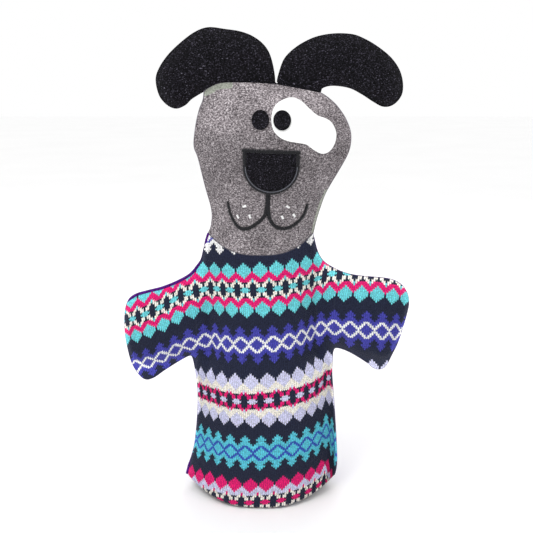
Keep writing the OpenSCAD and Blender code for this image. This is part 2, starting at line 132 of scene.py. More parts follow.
def grid_object(name, points, keep, face_colours=None, uv=None, flip=False, relief_for_shade=None):
    """A mesh from a grid of points in millimetres. keep says which of its cells are made."""
    rows, columns = points.shape[:2]
    index = np.arange(rows * columns).reshape(rows, columns)
    corners = np.stack([index[:-1, :-1], index[:-1, 1:], index[1:, 1:], index[1:, :-1]], -1)
    quads = corners[keep]
    if flip:
        quads = quads[:, ::-1]
    used, quads = np.unique(quads, return_inverse=True)
    quads = quads.reshape(-1, 4)
    flat = points.reshape(-1, 3)[used] * MM
    mesh = bpy.data.meshes.new(name)
    mesh.vertices.add(len(used))
    mesh.vertices.foreach_set("co", flat.astype(np.float32).ravel())
    mesh.loops.add(quads.size)
    mesh.loops.foreach_set("vertex_index", quads.astype(np.int32).ravel())
    mesh.polygons.add(len(quads))
    mesh.polygons.foreach_set("loop_start", np.arange(0, quads.size, 4, dtype=np.int32))
    mesh.polygons.foreach_set("use_smooth", np.ones(len(quads), bool))
    mesh.update(calc_edges=True)
    if face_colours is not None:
        attribute = mesh.attributes.new("yarn", "FLOAT_COLOR", "FACE")
        attribute.data.foreach_set("color", face_colours[keep].astype(np.float32).ravel())
    # Each point's relief, which the knit's material turns into painted shade
    if relief_for_shade is not None:
        attribute = mesh.attributes.new("relief_for_shade", "FLOAT", "POINT")
        attribute.data.foreach_set("value", relief_for_shade.ravel()[used].astype(np.float32))
    if uv is not None:
        place = uv.reshape(-1, 2)[used]
        place = (place - place.min(0)) / (place.max(0) - place.min(0))
        layer = mesh.uv_layers.new(name="OFBake")
        layer.data.foreach_set("uv", place[quads.ravel()].astype(np.float32).ravel())
    obj = bpy.data.objects.new(name, mesh)
    bpy.context.scene.collection.objects.link(obj)
    return obj


def tube(name, path, radius, sides=8):
    """A round cord along a path in millimetres, closed at both ends."""
    path = np.asarray(path, float)
    heading = np.gradient(path, axis=0)
    heading /= np.linalg.norm(heading, axis=1)[:, None]
    out = np.cross(heading, (0.0, 1.0, 0.0))
    out /= np.linalg.norm(out, axis=1)[:, None]
    up = np.cross(out, heading)
    turn = np.arange(sides) * 2 * math.pi / sides
    radius = np.broadcast_to(radius, len(path))[:, None, None]
    around = np.cos(turn)[:, None] * out[:, None] + np.sin(turn)[:, None] * up[:, None]
    rings = path[:, None] + radius * around
    faces = []
    for a in range(0, (len(path) - 1) * sides, sides):
        b = a + sides
        faces += [(a + k, a + (k + 1) % sides, b + (k + 1) % sides, b + k) for k in range(sides)]
    last = (len(path) - 1) * sides
    faces += [tuple(range(sides - 1, -1, -1)), tuple(last + k for k in range(sides))]
    return mesh_object(name, rings.reshape(-1, 3) * MM, faces)


def join(name, pieces):
    """One object from several, which go."""
    points, faces = [], []
    for piece in pieces:
        start = len(points)
        points += [v.co.copy() for v in piece.data.vertices]
        faces += [tuple(start + i for i in p.vertices) for p in piece.data.polygons]
        bpy.data.objects.remove(piece)
    return mesh_object(name, points, faces)


# ---- Curves and fields ----


def smooth_path(keys, per=6, closed=False):
    """Points of the smooth curve that passes through the keys."""
    keys = np.asarray(keys, float)
    count = len(keys)
    spans = count if closed else count - 1
    out = []
    for i in range(spans):
        if closed:
            a, b, c, d = (keys[(i + k) % count] for k in (-1, 0, 1, 2))
        else:
            a, b, c, d = (keys[min(max(i + k, 0), count - 1)] for k in (-1, 0, 1, 2))
        for t in np.arange(per) / per:
            out.append(0.5 * (2 * b + (c - a) * t + (2 * a - 5 * b + 4 * c - d) * t * t
                              + (3 * b - a - 3 * c + d) * t ** 3))
    if not closed:
        out.append(keys[-1])
    return np.array(out)


def smooth_step(low, high, value):
    t = np.clip((value - low) / (high - low), 0, 1)
    return t * t * (3 - 2 * t)


POINTS_AT_ONCE = 4000


def nearest_on(path, points, closed=True):
    """Each point's distance to the path, and the place on the path nearest to it."""
    starts = path if closed else path[:-1]
    ends = np.roll(path, -1, axis=0) if closed else path[1:]
    along = ends - starts
    length = np.maximum((along ** 2).sum(1), 1e-12)
    distance = np.empty(len(points))
    place = np.empty((len(points), 2))
    for k in range(0, len(points), POINTS_AT_ONCE):
        part = points[k:k + POINTS_AT_ONCE]
        t = np.clip(((part[:, None] - starts) * along).sum(2) / length, 0, 1)
        on = starts + t[..., None] * along
        gap = ((part[:, None] - on) ** 2).sum(2)
        best = gap.argmin(1)
        rows = np.arange(len(part))
        distance[k:k + POINTS_AT_ONCE] = np.sqrt(gap[rows, best])
        place[k:k + POINTS_AT_ONCE] = on[rows, best]
    return distance, place


def is_inside(path, points):
    inside = np.zeros(len(points), bool)
    x, z = points[:, 0], points[:, 1]
    for (ax, az), (bx, bz) in zip(path, np.roll(path, -1, axis=0)):
        if az == bz:
            continue
        crosses = (az > z) != (bz > z)
        inside ^= crosses & (x < ax + (z - az) * (bx - ax) / (bz - az))
    return inside


class Field:
    """A value over the plane of the puppet, kept on a millimetre grid."""

    def __init__(self, low, high, value):
        self.low = np.array(low, float)
        self.x = np.arange(low[0], high[0] + 1.0)
        self.z = np.arange(low[1], high[1] + 1.0)
        x, z = np.meshgrid(self.x, self.z)
        self.values = value(x, z)

    def soften(self, times):
        for _ in range(times):
            v = np.pad(self.values, 1, mode="edge")
            v = (v[:, :-2] + 2 * v[:, 1:-1] + v[:, 2:]) / 4
            self.values = (v[:-2] + 2 * v[1:-1] + v[2:]) / 4

    def at(self, x, z):
        i = np.clip((z - self.low[1]), 0, len(self.z) - 1.001)
        j = np.clip((x - self.low[0]), 0, len(self.x) - 1.001)
        i0, j0 = i.astype(int), j.astype(int)
        fi, fj = i - i0, j - j0
        v = self.values
        return ((v[i0, j0] * (1 - fj) + v[i0, j0 + 1] * fj) * (1 - fi)
                + (v[i0 + 1, j0] * (1 - fj) + v[i0 + 1, j0 + 1] * fj) * fi)


def inner_distance(outline, low, high):
    """A field of the distance inside an outline, below zero outside it."""
    def value(x, z):
        points = np.stack([x.ravel(), z.ravel()], 1)
        distance, _ = nearest_on(outline, points)
        return np.where(is_inside(outline, points), distance, -distance).reshape(x.shape)
    return Field(low, high, value)


def clip_to(outline, inside, x, z):
    """Which cells of a grid lie on the outline's shape, and the grid with its rim on the outline."""
    within = inside.at(x, z) > 0
    keep = within[:-1, :-1] | within[1:, :-1] | within[:-1, 1:] | within[1:, 1:]
    near = np.zeros(x.shape, bool)
    for rows in (slice(None, -1), slice(1, None)):
        for columns in (slice(None, -1), slice(1, None)):
            near[rows, columns] |= keep
    rim = near & ~within
    _, place = nearest_on(outline, np.stack([x[rim], z[rim]], 1))
    x, z = x.copy(), z.copy()
    x[rim], z[rim] = place[:, 0], place[:, 1]
    return keep, x, z


# ---- The puppet's outline in the seam plane, millimetres ----

# These points, and those of the face and the ears below, were measured outside this script and are not
# worked out from the frame

LEFT_SKIRT = [(-57.5, 9.9), (-55, 20), (-51.5, 34), (-49, 60), (-49, 78), (-50.6, 90)]
LEFT_ARM = [(-52, 97), (-54, 98.9), (-60, 96), (-71.8, 88.4), (-80, 82.6), (-86, 81.4), (-91, 86),
            (-95.5, 95), (-98.5, 110), (-99.2, 122), (-98.4, 132), (-96, 138.5), (-90.5, 142.9),
            (-82, 145.5), (-71.7, 148.2), (-60.4, 152.9)]
LEFT_NECK = [(-51.5, 158.5), (-45.5, 167.2), (-43, 176), (-39.7, 186.4)]
RIGHT_SKIRT = [(49.8, 9.9), (50.8, 17), (50.5, 30), (48.1, 65), (46.4, 84.4), (46.5, 95)]
RIGHT_ARM = [(46.9, 102), (49.5, 104.6), (58.7, 101.4), (71, 93.7), (75.1, 90.2), (79.5, 88.8),
             (84, 91), (88.4, 99.7), (92.8, 110.2), (98.1, 130.3), (98.9, 138.6), (97.3, 144.8),
             (93.5, 150), (88, 153.3), (80, 155), (62.9, 156.6)]
RIGHT_NECK = [(52.9, 159), (44.9, 162.8), (38.9, 167.2), (35, 174), (31.8, 186.4)]
HEAD_LEFT = [(-39.7, 186.4), (-37.6, 192), (-37.2, 202.5), (-41.4, 219), (-45.8, 237.6),
             (-48.5, 246), (-47.1, 259), (-44.6, 269.5), (-42, 276), (-41.2, 282.3)]
HEAD_TOP_EDGE = [(-41.2, 282.3), (-32, 286.5), (-22, 287.4), (-8, 287.2), (7.3, 286), (24, 283),
                 (35, 280.8), (41, 277.3)]
HEAD_RIGHT = [(31.8, 186.4), (34.2, 197), (38.7, 211.2), (42.5, 219), (52.3, 236), (55.6, 244),
              (56.4, 251.4), (55.3, 257.5), (51.8, 265.1), (46.3, 272.5), (41, 277.3)]

left_body = smooth_path(LEFT_SKIRT + LEFT_ARM + LEFT_NECK)
right_body = smooth_path(RIGHT_SKIRT + RIGHT_ARM + RIGHT_NECK)
head_left = smooth_path(HEAD_LEFT)
head_right = smooth_path(HEAD_RIGHT)
head_top_edge = smooth_path(HEAD_TOP_EDGE)
silhouette = np.concatenate([left_body, head_left[1:], head_top_edge[1:],
                             head_right[-2::-1], right_body[-2::-1]])

NECK_MIDDLE_X = (LEFT_NECK[-1][0] + RIGHT_NECK[-1][0]) / 2
NECK_HALF_WIDTH = (RIGHT_NECK[-1][0] - LEFT_NECK[-1][0]) / 2
NECK_DIP = 12.4
HEM_MIDDLE_X = (LEFT_SKIRT[0][0] + RIGHT_SKIRT[0][0]) / 2
HEM_HALF_WIDTH = (RIGHT_SKIRT[0][0] - LEFT_SKIRT[0][0]) / 2
HEM_LOW = 2.0


def neck_line(x):
    """Height of the seam between the body and the head."""
    u = np.clip(np.abs(x - NECK_MIDDLE_X) / NECK_HALF_WIDTH, 0, 1)
    return LEFT_NECK[-1][1] - NECK_DIP * (1 - u ** 2.6)


def hem_line(x):
    """Height of the folded hem."""
    u = np.clip(np.abs(x - HEM_MIDDLE_X) / HEM_HALF_WIDTH, 0, 1)
    return HEM_LOW + (LEFT_SKIRT[0][1] - HEM_LOW) * u ** 2.2


# ---- How far the cloth stands off the seam plane ----

# Half depth at the middle of the puppet, at each height
DEPTH_KEYS = [(0, HEM_DEPTH - 2.5), (42, 38), (78, 37), (95, 33), (114, 27), (135, 24), (150, 21), (176, 17),
              (187, 16.3), (200, 17), (221, 19), (241, 19), (254, 16.5), (269, 11.4), (280, 7), (289, 2.4)]
PAW_DEPTH = 10.5
# The shoulder creases: distance from the middle, and how far the cloth stands off there
LEFT_CREASE = (40, 4.5)
RIGHT_CREASE = (36, 1.0)
CREASE_REACH = 6
EDGE_REACH = 27
PILLOW_POWER = 2.5
# The groove that the neck's seam draws in the cloth
GROOVE_DEPTH = 0.9
GROOVE_WIDTH = 1.6


def middle_depth(z):
    heights, depths = zip(*DEPTH_KEYS)
    return np.interp(z, heights, depths)


def row_depth(x, z):
    """The skirt, the neck and the head: each level is one lens from seam to seam."""
    # Only where the edges rise: beside the arms they run straight, and the top counts up to its highest part
    left_neck, right_neck = smooth_path(LEFT_NECK)[10:], smooth_path(RIGHT_NECK)[12:]
    left_top, right_top = head_top_edge[1:14], head_top_edge[-2:24:-1]
    left = np.concatenate([smooth_path(LEFT_SKIRT), left_neck, head_left, left_top])
    right = np.concatenate([smooth_path(RIGHT_SKIRT), right_neck, head_right, right_top])
    low = np.interp(z, left[:, 1], left[:, 0])
    high = np.interp(z, right[:, 1], right[:, 0])
    u = np.clip(np.abs(x - (low + high) / 2) / ((high - low) / 2), 0, 1)
    power = 2.5 + 0.5 * smooth_step(190, 210, z)
    return middle_depth(z) * (1 - u ** power)


def arm_depth(x, z, edge):
    """The chest and the arms: pillows that meet in a crease at each shoulder."""
    crease = np.where(x < 0, LEFT_CREASE[0], RIGHT_CREASE[0])
    crease_depth = np.where(x < 0, LEFT_CREASE[1], RIGHT_CREASE[1])
    out = np.abs(x) - crease
    middle = middle_depth(z)
    chest = middle - (middle - crease_depth) * np.clip(np.abs(x) / crease, 0, 1) ** PILLOW_POWER
    arm = crease_depth + (PAW_DEPTH - crease_depth) * (1 - np.exp(-np.maximum(out, 0) / CREASE_REACH))
    pull = 1 - (1 - np.clip(edge / EDGE_REACH, 0, 1)) ** PILLOW_POWER
    return np.where(out < 0, chest, arm) * pull


def puppet_depth(x, z):
    points = np.stack([x.ravel(), z.ravel()], 1)
    edge, _ = nearest_on(silhouette, points, closed=False)
    edge = edge.reshape(x.shape)
    arms = smooth_step(88, 104, z) * (1 - smooth_step(150, 168, z))
    depth = (1 - arms) * row_depth(x, z) + arms * arm_depth(x, z, edge)
    uneven = 0.5 * np.sin(x / 11 + 1) * np.sin(z / 17) + 0.3 * np.sin(x / 6 - z / 9)
    depth += uneven * np.clip(edge / 15, 0, 1)
    depth -= GROOVE_DEPTH * np.exp(-((z - neck_line(x)) / GROOVE_WIDTH) ** 2) * np.clip(edge / 4, 0, 1)
    closed = np.vstack([silhouette, [(RIGHT_SKIRT[0][0], -30), (LEFT_SKIRT[0][0], -30)]])
    return np.where(is_inside(closed, points).reshape(x.shape), np.maximum(depth, 0), 0)


PUPPET_LOW, PUPPET_HIGH = (-106, -4), (106, 292)
depth_field = Field(PUPPET_LOW, PUPPET_HIGH, puppet_depth)
depth_field.soften(2)

# ---- The knitted pattern ----

STITCH_WIDTH = 1.39
ROW_HEIGHT = 1.179
BAND_ROWS = 31
REPEAT = 8
LOWEST_BAND_Z = 5.0
FIRST_ROW, LAST_ROW = -17, 158
COLUMN_REACH = 96
# How far a stitch's legs slant, in rows, and how proud of the cloth they and their gaps lie
LEG_SLANT = 0.7
LEG_LIFT, STITCH_DIP, COLUMN_DIP = 0.26, -0.12, -0.3
LEG_BELLY, LEG_END_DIP = 0.12, -0.1
# How much one stitch's tone differs from the next
STITCH_SHADE = 0.07
# Place across of the pattern's middle column, at each row
PATTERN_MIDDLE = [(-20, -3.4), (15, -0.4), (31, 1.3), (62, 0.9), (93, -1.6), (124, -4.1), (160, -7)]
# Slope of the rows across the body and along the arms: place across, rise
ROW_RISE = [(-100, -28), (-72, -15.2), (-57, -6.8), (-46, -4.2), (-38, -2.6), (0, 0), (30, 2.6), (37, 3.6),
            (43, 6.6), (56, 6.9), (74, 6.5), (84, 5.2), (100, 1.5)]

# Half a flower band, from its middle row outwards, and from its star column outwards
# D diamond, Z zigzag, F flower, . ground
FLOWER = ["DDD..", "DD...", ".FF..", ".FF..", "..FF.", "ZZZFD", "ZZZZD", "DZZZZ", "DDZZZ", "DDDZZ",
          "DDDDZ", "DDDD.", "DDDD.", "DDD..", "DD...", "D...."]
# Half a lattice band: B bar, L line of the lattice
LATTICE_LINE = 4
LATTICE_FADE = [3, 2, 1, 2, 1, 0]

YARN = {
    "navy": "#272c42", "turquoise": "#74dfe8", "deep_turquoise": "#62d2e6", "pink": "#f01f7a",
    "cream": "#fff8ee", "lavender": "#dcdcfa", "violet": "#4a4ab2", "lattice_white": "#ffffff",
    "lattice_blue": "#3b56c0", "purple": "#5a1a90",
}
# Each band's colours, from the hem up: diamond, zigzag and flower, or bar and line
FLOWER_COLOURS = {0: ("pink", "lavender", "cream"), 2: ("lavender", "cream", "pink"),
                  4: ("turquoise", "pink", "cream")}
LATTICE_COLOURS = {-1: ("violet", "lattice_white"), 1: ("deep_turquoise", "lattice_blue"),
                   3: ("violet", "lattice_white"), 5: ("lattice_white", "violet")}


def linear(colour):
    """A hex colour as linear red, green and blue."""
    parts = [int(colour[i:i + 2], 16) / 255 for i in (1, 3, 5)]
    return [c / 12.92 if c <= 0.04045 else ((c + 0.055) / 1.055) ** 2.4 for c in parts]


def stitch_colour(column, row):
    """The yarn of one stitch."""
    band = round(row / BAND_ROWS)
    from_middle = abs(row - band * BAND_ROWS)
    x = abs((column + REPEAT // 2) % REPEAT - REPEAT // 2)
    if band % 2 == 0:
        if from_middle >= len(FLOWER):
            return "navy"
        mark = FLOWER[from_middle][x]
        return "navy" if mark == "." else FLOWER_COLOURS[band]["DZF".index(mark)]
    x = REPEAT // 2 - x
    bar, line = LATTICE_COLOURS[band]
    if from_middle <= LATTICE_LINE:
        on_line = x + from_middle in ((LATTICE_LINE, LATTICE_LINE + 1) if from_middle else (LATTICE_LINE,))
        return line if on_line else bar
    reach = from_middle - LATTICE_LINE - 1
    return bar if reach < len(LATTICE_FADE) and x <= LATTICE_FADE[reach] else "navy"


def pattern_colours(columns, rows):
    """Linear colours of a grid of stitches in the pattern."""
    yarns = {name: linear(value) for name, value in YARN.items()}
    table = {(c, r): yarns[stitch_colour(c, r)] for c in range(REPEAT) for r in np.unique(rows)}
    return np.array([[table[(c % REPEAT, r)] for c in columns] for r in rows])


# Below this row the right arm's cloth is pulled down, more with each row
ARM_PULL_ROW = 108
ARM_PULL = 0.0073


def row_rise(x, row):
    pulled = ARM_PULL * np.maximum(ARM_PULL_ROW - row, 0) ** 2 * smooth_step(40, 62, x)
    return np.interp(x, *zip(*ROW_RISE)) - pulled


def stitch_grid(slope):
    """Places of the stitches' points: four across a stitch and two up it, in V-shaped legs."""
    rows = np.arange(FIRST_ROW, LAST_ROW + 0.5, 0.5)
    columns = np.arange(-COLUMN_REACH, COLUMN_REACH + 0.25, 0.25)
    across = np.arange(PUPPET_LOW[0] + 1, PUPPET_HIGH[0], 0.5)
    x = np.empty((len(rows), len(columns)))
    z = np.empty_like(x)
    zigzag = LEG_SLANT * (np.abs(columns % 1 - 0.5) * 2 - 0.5)
    for i, row in enumerate(rows):
        height = LOWEST_BAND_Z + ROW_HEIGHT * row + slope * row_rise(across, row)
        depth = depth_field.at(across, np.maximum(height, hem_line(across)))
        step = np.sqrt(np.diff(across) ** 2 + np.diff(height) ** 2 + np.diff(depth) ** 2)
        arc = np.concatenate([[0], np.cumsum(step)])
        middle = np.interp(row, *zip(*PATTERN_MIDDLE))
        start = np.interp(slope * middle, across, arc)
        x[i] = np.interp(start + columns * STITCH_WIDTH, arc, across)
        z[i] = LOWEST_BAND_Z + ROW_HEIGHT * (row + zigzag) + slope * row_rise(x[i], row)
    # A leg is highest along its middle; the gap between two columns is the deepest
    leg = np.where(columns % 0.5 > 0, LEG_LIFT, np.where(columns % 1 > 0, STITCH_DIP, COLUMN_DIP))
    along = np.where(rows % 1 > 0, LEG_BELLY, LEG_END_DIP)
    lift = leg[None] + along[:, None] * (columns % 0.5 > 0)[None]
    return rows, columns, x, z, lift


FOLD_RADIUS = 1.1
TURN_UP = 14


def fold_hem(x, z):
    """Rolls what is below the hem line round and up inside. Gives the places and the inset."""
    below = np.maximum(hem_line(x) - z, 0)
    turn = np.minimum(below / FOLD_RADIUS, math.pi)
    inset = FOLD_RADIUS * (1 - np.cos(turn))
    rest = np.maximum(below - math.pi * FOLD_RADIUS, 0)
    height = np.where(below > 0, hem_line(x) - FOLD_RADIUS * np.sin(turn) + rest, z)
    return height, inset, below


def skirt_sides(z):
    """The left and right edges of the skirt at a height."""
    left, right = smooth_path(LEFT_SKIRT), smooth_path(RIGHT_SKIRT)
    return np.interp(z, left[:, 1], left[:, 0]), np.interp(z, right[:, 1], right[:, 0])


def surface(x, z, inset, lift, side):
    """Points of the cloth on one side of the puppet."""
    left, right = skirt_sides(z)
    u = np.clip((x - HEM_MIDDLE_X) / HEM_HALF_WIDTH, -1, 1)
    inside_x = (left + right) / 2 + u * ((right - left) / 2 - inset)
    x_in = x + (inside_x - x) * np.clip(inset / FOLD_RADIUS, 0, 1)
    depth = depth_field.at(x_in + np.sign(u) * inset * np.abs(u), np.maximum(z, 0))
    depth *= 1 - inset / HEM_DEPTH
    steep = smooth_step(0, 4, depth)
    return np.stack([x_in, side * (depth + lift * steep * np.where(inset > 0.5 * FOLD_RADIUS, -1, 1)), z], -1)


KNIT_OUTLINE_FLOOR = -18
KNIT_FIELD_TOP = 192


def knit_outline():
    top = np.linspace(LEFT_NECK[-1][0], RIGHT_NECK[-1][0], 24)[1:-1]
    low_right = [(RIGHT_SKIRT[0][0], KNIT_OUTLINE_FLOOR)]
    low_left = [(LEFT_SKIRT[0][0], KNIT_OUTLINE_FLOOR)]
    neck = np.stack([top, neck_line(top)], 1)
    return np.concatenate([left_body, neck, right_body[::-1], low_right, low_left])


# Where the cloth is cut into arm pieces, left and right, and a place further out that nothing uses; the neck
# likewise
ARM_START = (-48.5, 46.5)
ARM_END = (-63, 61)
NECK_START, NECK_END = 170, 188
# Above this height the cloth beyond the shoulder creases is arm; a paw's tip hangs lower, beyond the skirt
ARM_FOOT_Z = 92
TIP_FOOT_Z = 75
TIP_REACH = 53


def is_left_arm(x, z):
    return (x < ARM_START[0]) & (z > ARM_FOOT_Z) | (x < -TIP_REACH) & (z > TIP_FOOT_Z)


def is_right_arm(x, z):
    return (x > ARM_START[1]) & (z > ARM_FOOT_Z) | (x > TIP_REACH) & (z > TIP_FOOT_Z)


def knit_pieces(side, name, colours_of, slope):
    """The knitted panel of one side, cut where it bends: body, neck, arms and turned-up hem."""
    outline = knit_outline()
    low, high = (PUPPET_LOW[0], KNIT_OUTLINE_FLOOR - 4), (PUPPET_HIGH[0], KNIT_FIELD_TOP)
    inside = inner_distance(outline, low, high)
    rows, columns, x, z, lift = stitch_grid(slope)
    keep, x, z = clip_to(outline, inside, x, z)
    height, inset, below = fold_hem(x, z)
    points = surface(x, height, inset, lift, side)
    middle_row = np.floor(rows[:-1] + 0.25).astype(int)
    middle_column = np.floor(columns[:-1] + 0.125).astype(int)
    colours = colours_of(middle_column, middle_row)
    shade = 1 + STITCH_SHADE * rng.standard_normal(colours.shape[:2])
    colours = np.clip(colours * shade[..., None], 0, 1)
    colours = np.concatenate([colours, np.ones(colours.shape[:2] + (1,))], -1)
    uv = np.stack(np.broadcast_arrays(columns[None], rows[:, None]), -1).astype(float)
    face_x = (x[:-1, :-1] + x[1:, 1:]) / 2
    face_z = (z[:-1, :-1] + z[1:, 1:]) / 2
    turned = (below[:-1, :-1] + below[1:, 1:]) / 2 > math.pi / 2 * FOLD_RADIUS
    is_left, is_right = is_left_arm(face_x, face_z), is_right_arm(face_x, face_z)
    is_neck = (face_z > NECK_START - 2) & ~is_left & ~is_right
    regions = {
        "body": keep & ~turned & ~is_left & ~is_right & ~is_neck,
        "turn_up": keep & turned, "neck": keep & is_neck,
        "left_arm": keep & is_left, "right_arm": keep & is_right,
    }
    flip = side > 0
    # The stitches' relief, kept for painted shade in the dips and painted highlight on the crests
    relief_for_shade = np.broadcast_to(lift, x.shape)
    return {key: grid_object(f"{key}_{name}_knit", points, cells, colours, uv, flip, relief_for_shade)
            for key, cells in regions.items()}


# ---- Materials ----


def new_material(name, roughness=0.9, sheen=0.0, specular=0.08):
    material = bpy.data.materials.new(name)
    material.use_nodes = True
    shader = material.node_tree.nodes["Principled BSDF"]
    shader.inputs["Roughness"].default_value = roughness
    shader.inputs["Sheen Weight"].default_value = sheen
    shader.inputs["Specular IOR Level"].default_value = specular
    return material, shader


def node(material, kind, **values):
    made = material.node_tree.nodes.new(kind)
    for key, value in values.items():
        if key in made.inputs:
            made.inputs[key].default_value = value
        else:
            setattr(made, key, value)
    return made


def link(material, out, into):
    material.node_tree.links.new(out, into)


def noise(material, scale, detail=3.0, stretch=(1, 1, 1), roughness=0.6):
    """Noise over the object's own place, with scale in cells per metre."""
    place = node(material, "ShaderNodeTexCoord")
    mapping = node(material, "ShaderNodeMapping")
    mapping.inputs["Scale"].default_value = stretch
    link(material, place.outputs["Object"], mapping.inputs["Vector"])
    made = node(material, "ShaderNodeTexNoise", Scale=scale, Detail=detail, Roughness=roughness)
    link(material, mapping.outputs["Vector"], made.inputs["Vector"])
    return made.outputs["Fac"]


def ramp(material, value, stops):
    """Colours, or grey levels, along a value."""
    made = node(material, "ShaderNodeValToRGB")
    elements = made.color_ramp.elements
    while len(elements) < len(stops):
        elements.new(0.5)
    for element, (place, colour) in zip(elements, stops):
        element.position = place
        element.color = (*linear(colour), 1) if isinstance(colour, str) else (colour, colour, colour, 1)
    link(material, value, made.inputs["Fac"])
    return made.outputs["Color"]


def bump(material, shader, height, distance, strength=1.0):
    made = node(material, "ShaderNodeBump", Strength=strength, Distance=distance)
    link(material, height, made.inputs["Height"])
    link(material, made.outputs["Normal"], shader.inputs["Normal"])


def multiply(material, colour, factor):
    made = node(material, "ShaderNodeMix", data_type="RGBA", blend_type="MULTIPLY")
    made.inputs["Factor"].default_value = 1.0
    link(material, colour, made.inputs["A"])
    link(material, factor, made.inputs["B"])
    return made.outputs["Result"]


def knit_material():
    """Felted jumper yarn: the stitch's own colour, with painted shade in the dips between stitches and
    painted highlight on the legs' crests, and a fine halo of fibre.
    """
    material, shader = new_material("felted_knit", roughness=0.95, sheen=0.25)
    yarn = node(material, "ShaderNodeAttribute", attribute_name="yarn")
    # Painted shade and highlight: the yarn darker in the dips between stitches and columns, lighter on the
    # legs' crests
    relief_for_shade = node(material, "ShaderNodeAttribute", attribute_name="relief_for_shade")
    depth = node(material, "ShaderNodeMapRange")
    depth.inputs["From Min"].default_value = COLUMN_DIP
    depth.inputs["From Max"].default_value = LEG_LIFT + LEG_BELLY
    link(material, relief_for_shade.outputs["Fac"], depth.inputs["Value"])
    shade = ramp(material, depth.outputs["Result"], [(0.0, 0.45), (0.5, 1.05), (1.0, 1.3)])
    fibre = noise(material, 1100, detail=5, roughness=0.75)
    tone = ramp(material, fibre, [(0.34, 0.5), (0.66, 1.4)])
    shaded = multiply(material, yarn.outputs["Color"], shade)
    link(material, multiply(material, shaded, tone), shader.inputs["Base Color"])
    bump(material, shader, fibre, 0.0004)
    return material


def felt_material(name, stops, grain=900, sheen=0.05, height=0.0003, uneven=None):
    """Pressed wool: a marl of fibres in a few tones; given height stops, also random blotches and painted
    light and shade by height, mostly paler upwards.
    """
    material, shader = new_material(name, roughness=0.95, sheen=sheen)
    coarse = noise(material, grain, detail=4, stretch=(1, 1, 1.4), roughness=0.7)
    colour = ramp(material, coarse, stops)
    if uneven:
        # Random blotches of tone, times painted light and shade by height from the given stops
        blotch = ramp(material, noise(material, 45, detail=2), [(0.35, 0.78), (0.65, 1.12)])
        colour = multiply(material, multiply(material, colour, blotch), height_painted_light(material, uneven))
    link(material, colour, shader.inputs["Base Color"])
    bump(material, shader, coarse, height)
    return material


def height_painted_light(material, stops):
    """Painted light and shade: a grey level that follows the height above the floor, in millimetres."""
    place = node(material, "ShaderNodeTexCoord")
    split = node(material, "ShaderNodeSeparateXYZ")
    link(material, place.outputs["Object"], split.inputs["Vector"])
    share = node(material, "ShaderNodeMapRange")
    share.inputs["From Min"].default_value = stops[0][0] * MM
    share.inputs["From Max"].default_value = stops[-1][0] * MM
    link(material, split.outputs["Z"], share.inputs["Value"])
    span = stops[-1][0] - stops[0][0]
    return ramp(material, share.outputs["Result"], [((z - stops[0][0]) / span, tone) for z, tone in stops])


def thread_material(name, dark, light):
    """Spun thread with a soft shine."""
    material, shader = new_material(name, roughness=0.45, sheen=0.1, specular=0.25)
    twist = noise(material, 1500, detail=2)
    link(material, ramp(material, twist, [(0.3, dark), (0.7, light)]), shader.inputs["Base Color"])
    bump(material, shader, twist, 0.0001)
    return material


def plain_material(name, colour, roughness):
    material, shader = new_material(name, roughness=roughness)
    soft = noise(material, 4, detail=1)
    link(material, ramp(material, soft, [(0.0, colour), (1.0, "#fafafa")]), shader.inputs["Base Color"])
    return material


def paint(obj, material):
    obj.data.materials.clear()
    obj.data.materials.append(material)


GREY_MARL = [(0.36, "#3b3639"), (0.46, "#655f62"), (0.53, "#8a8386"), (0.6, "#aca5a8"), (0.68, "#dcd6d9")]
# Painted light and shade on the grey head by height in millimetres: darker around the middle, lightest at the
# top
HEAD_PAINTED_LIGHT = [(175, 1.06), (205, 1.03), (240, 0.82), (262, 1.16), (290, 1.52)]
BACK_MARL = [(0.32, "#6c7068"), (0.5, "#9a9e93"), (0.7, "#c2c6bb")]
BLACK_MARL = [(0.35, "#020203"), (0.5, "#0f0e11"), (0.59, "#24222a"), (0.65, "#4d4a56"), (0.73, "#8f8c99")]
PURPLE_MARL = [(0.35, "#2b0c49"), (0.5, "#4a1570"), (0.65, "#66259a")]
WHITE_MARL = [(0.3, "#f4f5f3"), (0.7, "#ffffff")]


def finish_piece(obj, material, body, slot, *nodes):
    """What every piece needs: its material, its finish, which is not used, and the CAD nodes it stands for.
    """
    paint(obj, material)
    if isinstance(body, str):
        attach(obj, body)
    else:
        first, second, start, end = body
        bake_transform(obj)
        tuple(start)
        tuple(end)
    if nodes:
        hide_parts(*nodes)


def along_arm(side):
    index = 0 if side == "left" else 1
    return ("body", f"{side}_arm", (ARM_START[index] * MM, 0, 0), (ARM_END[index] * MM, 0, 0))


ALONG_NECK = ("body", "head", (0, 0, NECK_START * MM), (0, 0, NECK_END * MM))

# ---- Knitted body ----


def purple_colours(columns, rows):
    return np.broadcast_to(linear(YARN["purple"]), (len(rows), len(columns), 3))


def add_knit():
    yarn = knit_material()
    for side, name, colours_of, slope, slot in ((-1, "front", pattern_colours, 1.0, "patterned_knit"),
                                                (1, "back", purple_colours, 0.0, "purple_knit")):
        pieces = knit_pieces(side, name, colours_of, slope)
        finish_piece(pieces["body"], yarn, "body", slot, f"body_{name}")
        finish_piece(pieces["turn_up"], yarn, "body", slot, f"hem_turn_up_{name}")
        finish_piece(pieces["neck"], yarn, ALONG_NECK, slot)
        for arm in ("left", "right"):
            finish_piece(pieces[f"{arm}_arm"], yarn, along_arm(arm), slot, f"{arm}_arm_{name}")


def split_path(path, rule):
    """The stretches of a path where the rule holds, each with a point of overlap."""
    held = rule(path)
    parts, current = [], []
    for point, yes in zip(path, held):
        if yes:
            current.append(point)
        elif current:
            parts.append(np.array(current + [point]))
            current = []
    if current:
        parts.append(np.array(current))
    return parts


